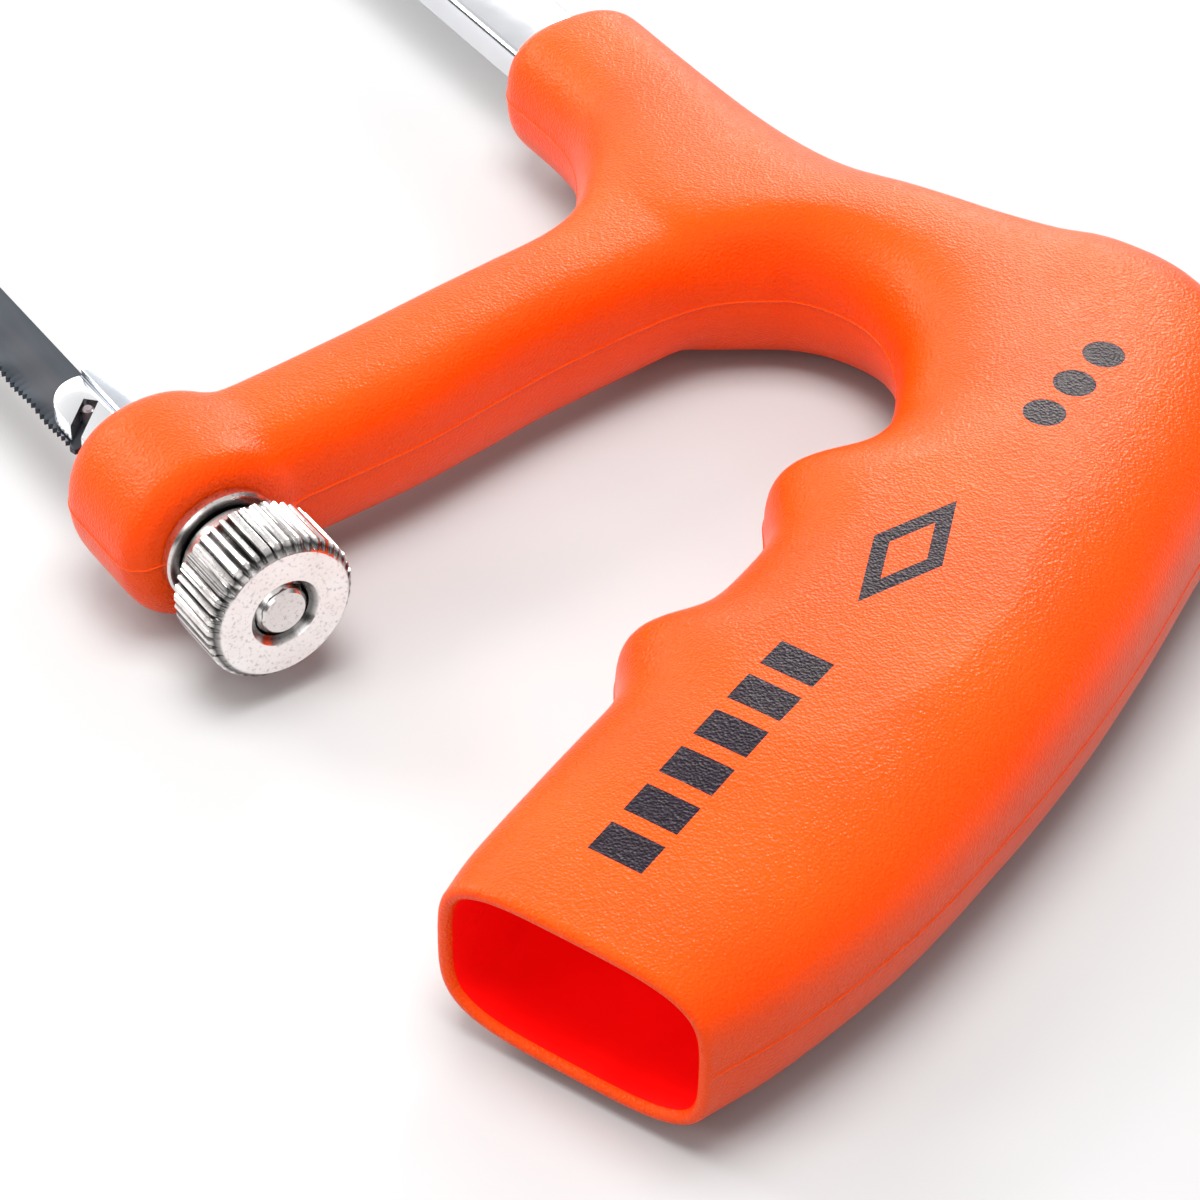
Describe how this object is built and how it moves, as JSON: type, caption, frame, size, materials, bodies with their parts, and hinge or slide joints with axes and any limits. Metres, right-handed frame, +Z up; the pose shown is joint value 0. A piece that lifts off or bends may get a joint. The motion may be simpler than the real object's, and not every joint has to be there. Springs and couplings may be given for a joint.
{
  "type": "junior hacksaw",
  "caption": "Pistol-grip junior hacksaw: bent flat steel frame, hollow moulded handle with knuckle guard, pin-end blade tensioned by a drawbolt and knurled nut.",
  "frame": {"origin": "middle of the saw's box, on the surface that it lies on", "axes": "+X from the blade's front end towards the grip, +Y from the blade's teeth towards the frame's top bar, +Z up out of the side that it lies on"},
  "size_m": [0.2476, 0.1, 0.0192],
  "materials": {
    "handle_plastic": "semi-matte moulded orange plastic with a fine pebble grain",
    "chromed_steel": "bright chromed steel",
    "blade_steel": "dark blue-grey tempered steel",
    "pin_steel": "plain drawn steel",
    "plated_steel": "nickel-plated turned steel with fine turning marks"
  },
  "bodies": {
    "frame": {"handle": "handle_plastic", "frame_bar": "chromed_steel", "flange_washer": "plated_steel"},
    "nut": {"tension_nut": "plated_steel"},
    "draw": {"drawbolt": "chromed_steel"},
    "blade": {"blade": "blade_steel", "front_blade_pin": "pin_steel", "rear_blade_pin": "pin_steel"}
  },
  "joints": [
    {"name": "nut_spin", "type": "hinge", "parent": "frame", "child": "nut", "pos_m": [0.057, -0.04014, 0.0096], "axis": [1, 0, 0], "range_deg": [0, 2160]},
    {"name": "drawbolt_slide", "type": "slide", "parent": "frame", "child": "draw", "axis": [1, 0, 0], "range_m": [-0.0049, 0]},
    {"name": "blade_swing", "type": "hinge", "parent": "frame", "child": "blade", "pos_m": [-0.1193, -0.04174, 0.0096], "axis": [0, 0, 1], "range_deg": [-1.95, 0]}
  ],
  "couplings": [
    {"joint": "drawbolt_slide", "follows": "nut_spin", "m_per_rad": -0.00012732},
    {"joint": "blade_swing", "follows": "nut_spin", "ratio": -0.00086418}
  ]
}
